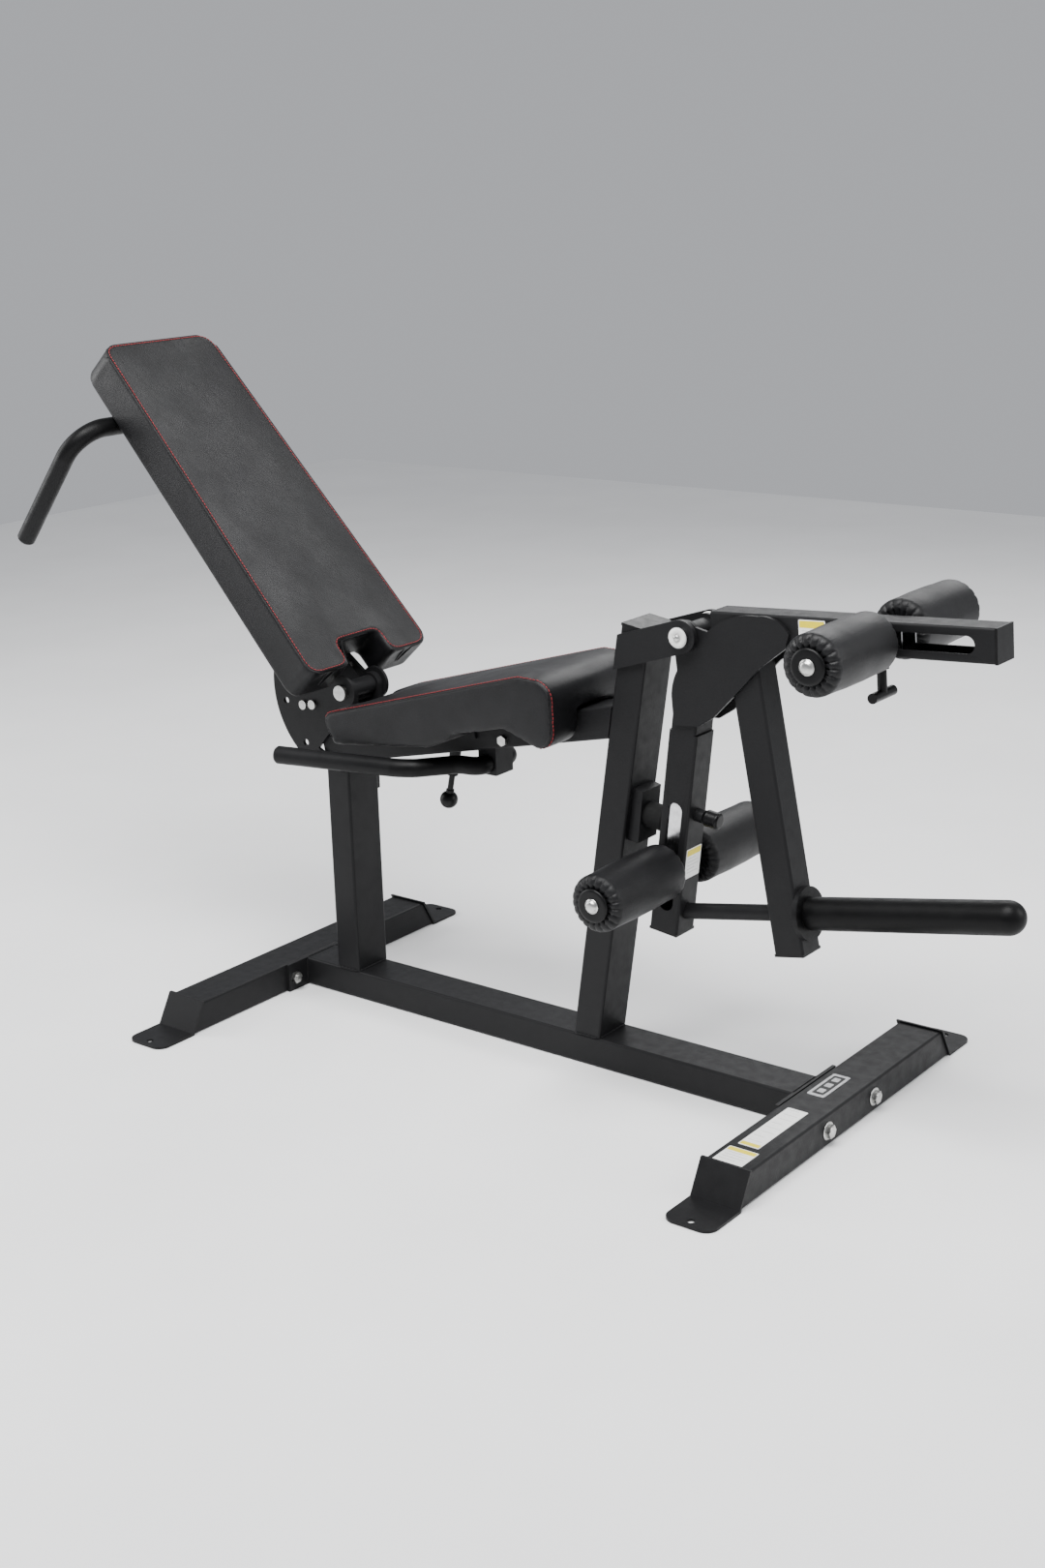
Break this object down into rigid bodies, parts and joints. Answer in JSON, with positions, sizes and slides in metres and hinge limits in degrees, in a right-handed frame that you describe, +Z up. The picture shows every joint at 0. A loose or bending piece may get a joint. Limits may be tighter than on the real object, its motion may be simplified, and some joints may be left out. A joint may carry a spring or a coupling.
{
  "type": "leg curl bench",
  "caption": "Plate-loaded leg extension and lying leg curl bench: steel frame, leather seat and reclining backrest, swinging lever with padded rollers and a weight peg.",
  "frame": {"origin": "on the floor, at the centre of the four floor bolt holes", "axes": "+X towards the leg lever, +Y to the side of the backrest's lock pin, +Z up"},
  "size_m": [1.816, 0.787, 1.1298],
  "materials": {
    "black_powder_coat": "fine-textured satin powder coat",
    "black_leather": "grained semi-matt upholstery leather",
    "zinc_steel": "bright zinc plate",
    "chrome_steel": "polished chrome",
    "black_plastic": "moulded, slightly glossy",
    "black_rubber": "matt",
    "plywood": "black-stained plywood",
    "white_label": "printed vinyl sticker"
  },
  "bodies": {
    "frame": {"front_foot": "black_powder_coat", "rear_foot": "black_powder_coat", "front_foot_plate_near": "black_powder_coat", "front_foot_plate_far": "black_powder_coat", "rear_foot_plate_near": "black_powder_coat", "rear_foot_plate_far": "black_powder_coat", "main_beam": "black_powder_coat", "foot_flanges": "black_powder_coat", "frame_bolts": "zinc_steel", "rear_post": "black_powder_coat", "front_post": "black_powder_coat", "seat_beam": "black_powder_coat", "frame_end_caps": "black_plastic", "pivot_ear_near": "black_powder_coat", "pivot_ear_far": "black_powder_coat", "pivot_axle": "chrome_steel", "bumper_bracket": "black_powder_coat", "rubber_bumper": "black_rubber", "hinge_ears": "black_powder_coat", "seat_handle": "black_powder_coat", "seat_handle_plugs": "black_plastic", "seat_handle_block": "black_powder_coat", "frame_pin_housings": "black_powder_coat", "foot_labels": "white_label"},
    "backrest": {"sector_plate_near": "black_powder_coat", "sector_plate_far": "black_powder_coat", "sector_cross_bars": "zinc_steel", "hinge_barrel": "black_powder_coat", "back_tube": "black_powder_coat", "back_board": "plywood", "back_pad": "black_leather", "back_handles": "black_powder_coat", "back_handle_plugs": "black_plastic"},
    "seat": {"seat_saddle": "black_powder_coat", "seat_board": "plywood", "seat_pad": "black_leather"},
    "lever": {"pivot_sleeve": "black_powder_coat", "gusset_near": "black_powder_coat", "gusset_far": "black_powder_coat", "leg_tube": "black_powder_coat", "stub_tube": "black_powder_coat", "weight_arm": "black_powder_coat", "top_arm": "black_powder_coat", "lever_end_caps": "black_plastic", "weight_peg": "black_powder_coat", "link_bar": "black_powder_coat", "lever_pin_housings": "black_powder_coat", "lever_labels": "white_label"},
    "lower_carriage": {"lower_slider": "chrome_steel", "lower_axle": "chrome_steel"},
    "upper_carriage": {"upper_slider": "chrome_steel", "upper_axle": "chrome_steel"},
    "lower_roller_near": {"lower_roller_near": "black_leather"},
    "lower_roller_far": {"lower_roller_far": "black_leather"},
    "upper_roller_near": {"upper_roller_near": "black_leather"},
    "upper_roller_far": {"upper_roller_far": "black_leather"},
    "seat_pull_pin": {"seat_pull_pin": "black_plastic"},
    "back_lock_pin": {"back_lock_pin": "black_plastic"},
    "leg_pull_pin": {"leg_pull_pin": "black_plastic"},
    "top_pull_pin": {"top_pull_pin": "black_plastic"}
  },
  "joints": [
    {"name": "lever_swing", "type": "hinge", "parent": "frame", "child": "lever", "pos_m": [0.3091, 0, 0.7293], "axis": [0, -1, 0], "range_deg": [0, 100]},
    {"name": "lower_carriage_slide", "type": "slide", "parent": "lever", "child": "lower_carriage", "axis": [0.1219, 0, 0.9925], "range_m": [-0.055, 0.05]},
    {"name": "upper_carriage_slide", "type": "slide", "parent": "lever", "child": "upper_carriage", "axis": [0.9984, 0, 0.0558], "range_m": [0, 0.125]},
    {"name": "lower_roller_near_spin", "type": "hinge", "parent": "lower_carriage", "child": "lower_roller_near", "pos_m": [0.27238, 0, 0.36002], "axis": [0, 1, 0], "continuous": true},
    {"name": "lower_roller_far_spin", "type": "hinge", "parent": "lower_carriage", "child": "lower_roller_far", "pos_m": [0.27238, 0, 0.36002], "axis": [0, 1, 0], "continuous": true},
    {"name": "upper_roller_near_spin", "type": "hinge", "parent": "upper_carriage", "child": "upper_roller_near", "pos_m": [0.61998, 0, 0.75839], "axis": [0, 1, 0], "continuous": true},
    {"name": "upper_roller_far_spin", "type": "hinge", "parent": "upper_carriage", "child": "upper_roller_far", "pos_m": [0.61998, 0, 0.75839], "axis": [0, 1, 0], "continuous": true},
    {"name": "backrest_recline", "type": "hinge", "parent": "frame", "child": "backrest", "pos_m": [-0.371, 0, 0.5547], "axis": [0, -1, 0], "range_deg": [0, 69.4]},
    {"name": "seat_slide", "type": "slide", "parent": "frame", "child": "seat", "axis": [0.9763, 0, 0.2164], "range_m": [0, 0.035]},
    {"name": "seat_pin_pull", "type": "slide", "parent": "frame", "child": "seat_pull_pin", "axis": [-0.21, 0, -0.9777], "range_m": [0, 0.012], "stiffness_N_per_m": 500, "springref_m": -0.012},
    {"name": "back_pin_pull", "type": "slide", "parent": "frame", "child": "back_lock_pin", "axis": [0, 1, 0], "range_m": [0, 0.012], "stiffness_N_per_m": 500, "springref_m": -0.012},
    {"name": "leg_pin_pull", "type": "slide", "parent": "lever", "child": "leg_pull_pin", "axis": [0.9925, 0, -0.1219], "range_m": [0, 0.012], "stiffness_N_per_m": 500, "springref_m": -0.012},
    {"name": "top_pin_pull", "type": "slide", "parent": "lever", "child": "top_pull_pin", "axis": [0.0558, 0, -0.9984], "range_m": [0, 0.012], "stiffness_N_per_m": 500, "springref_m": -0.012}
  ]
}
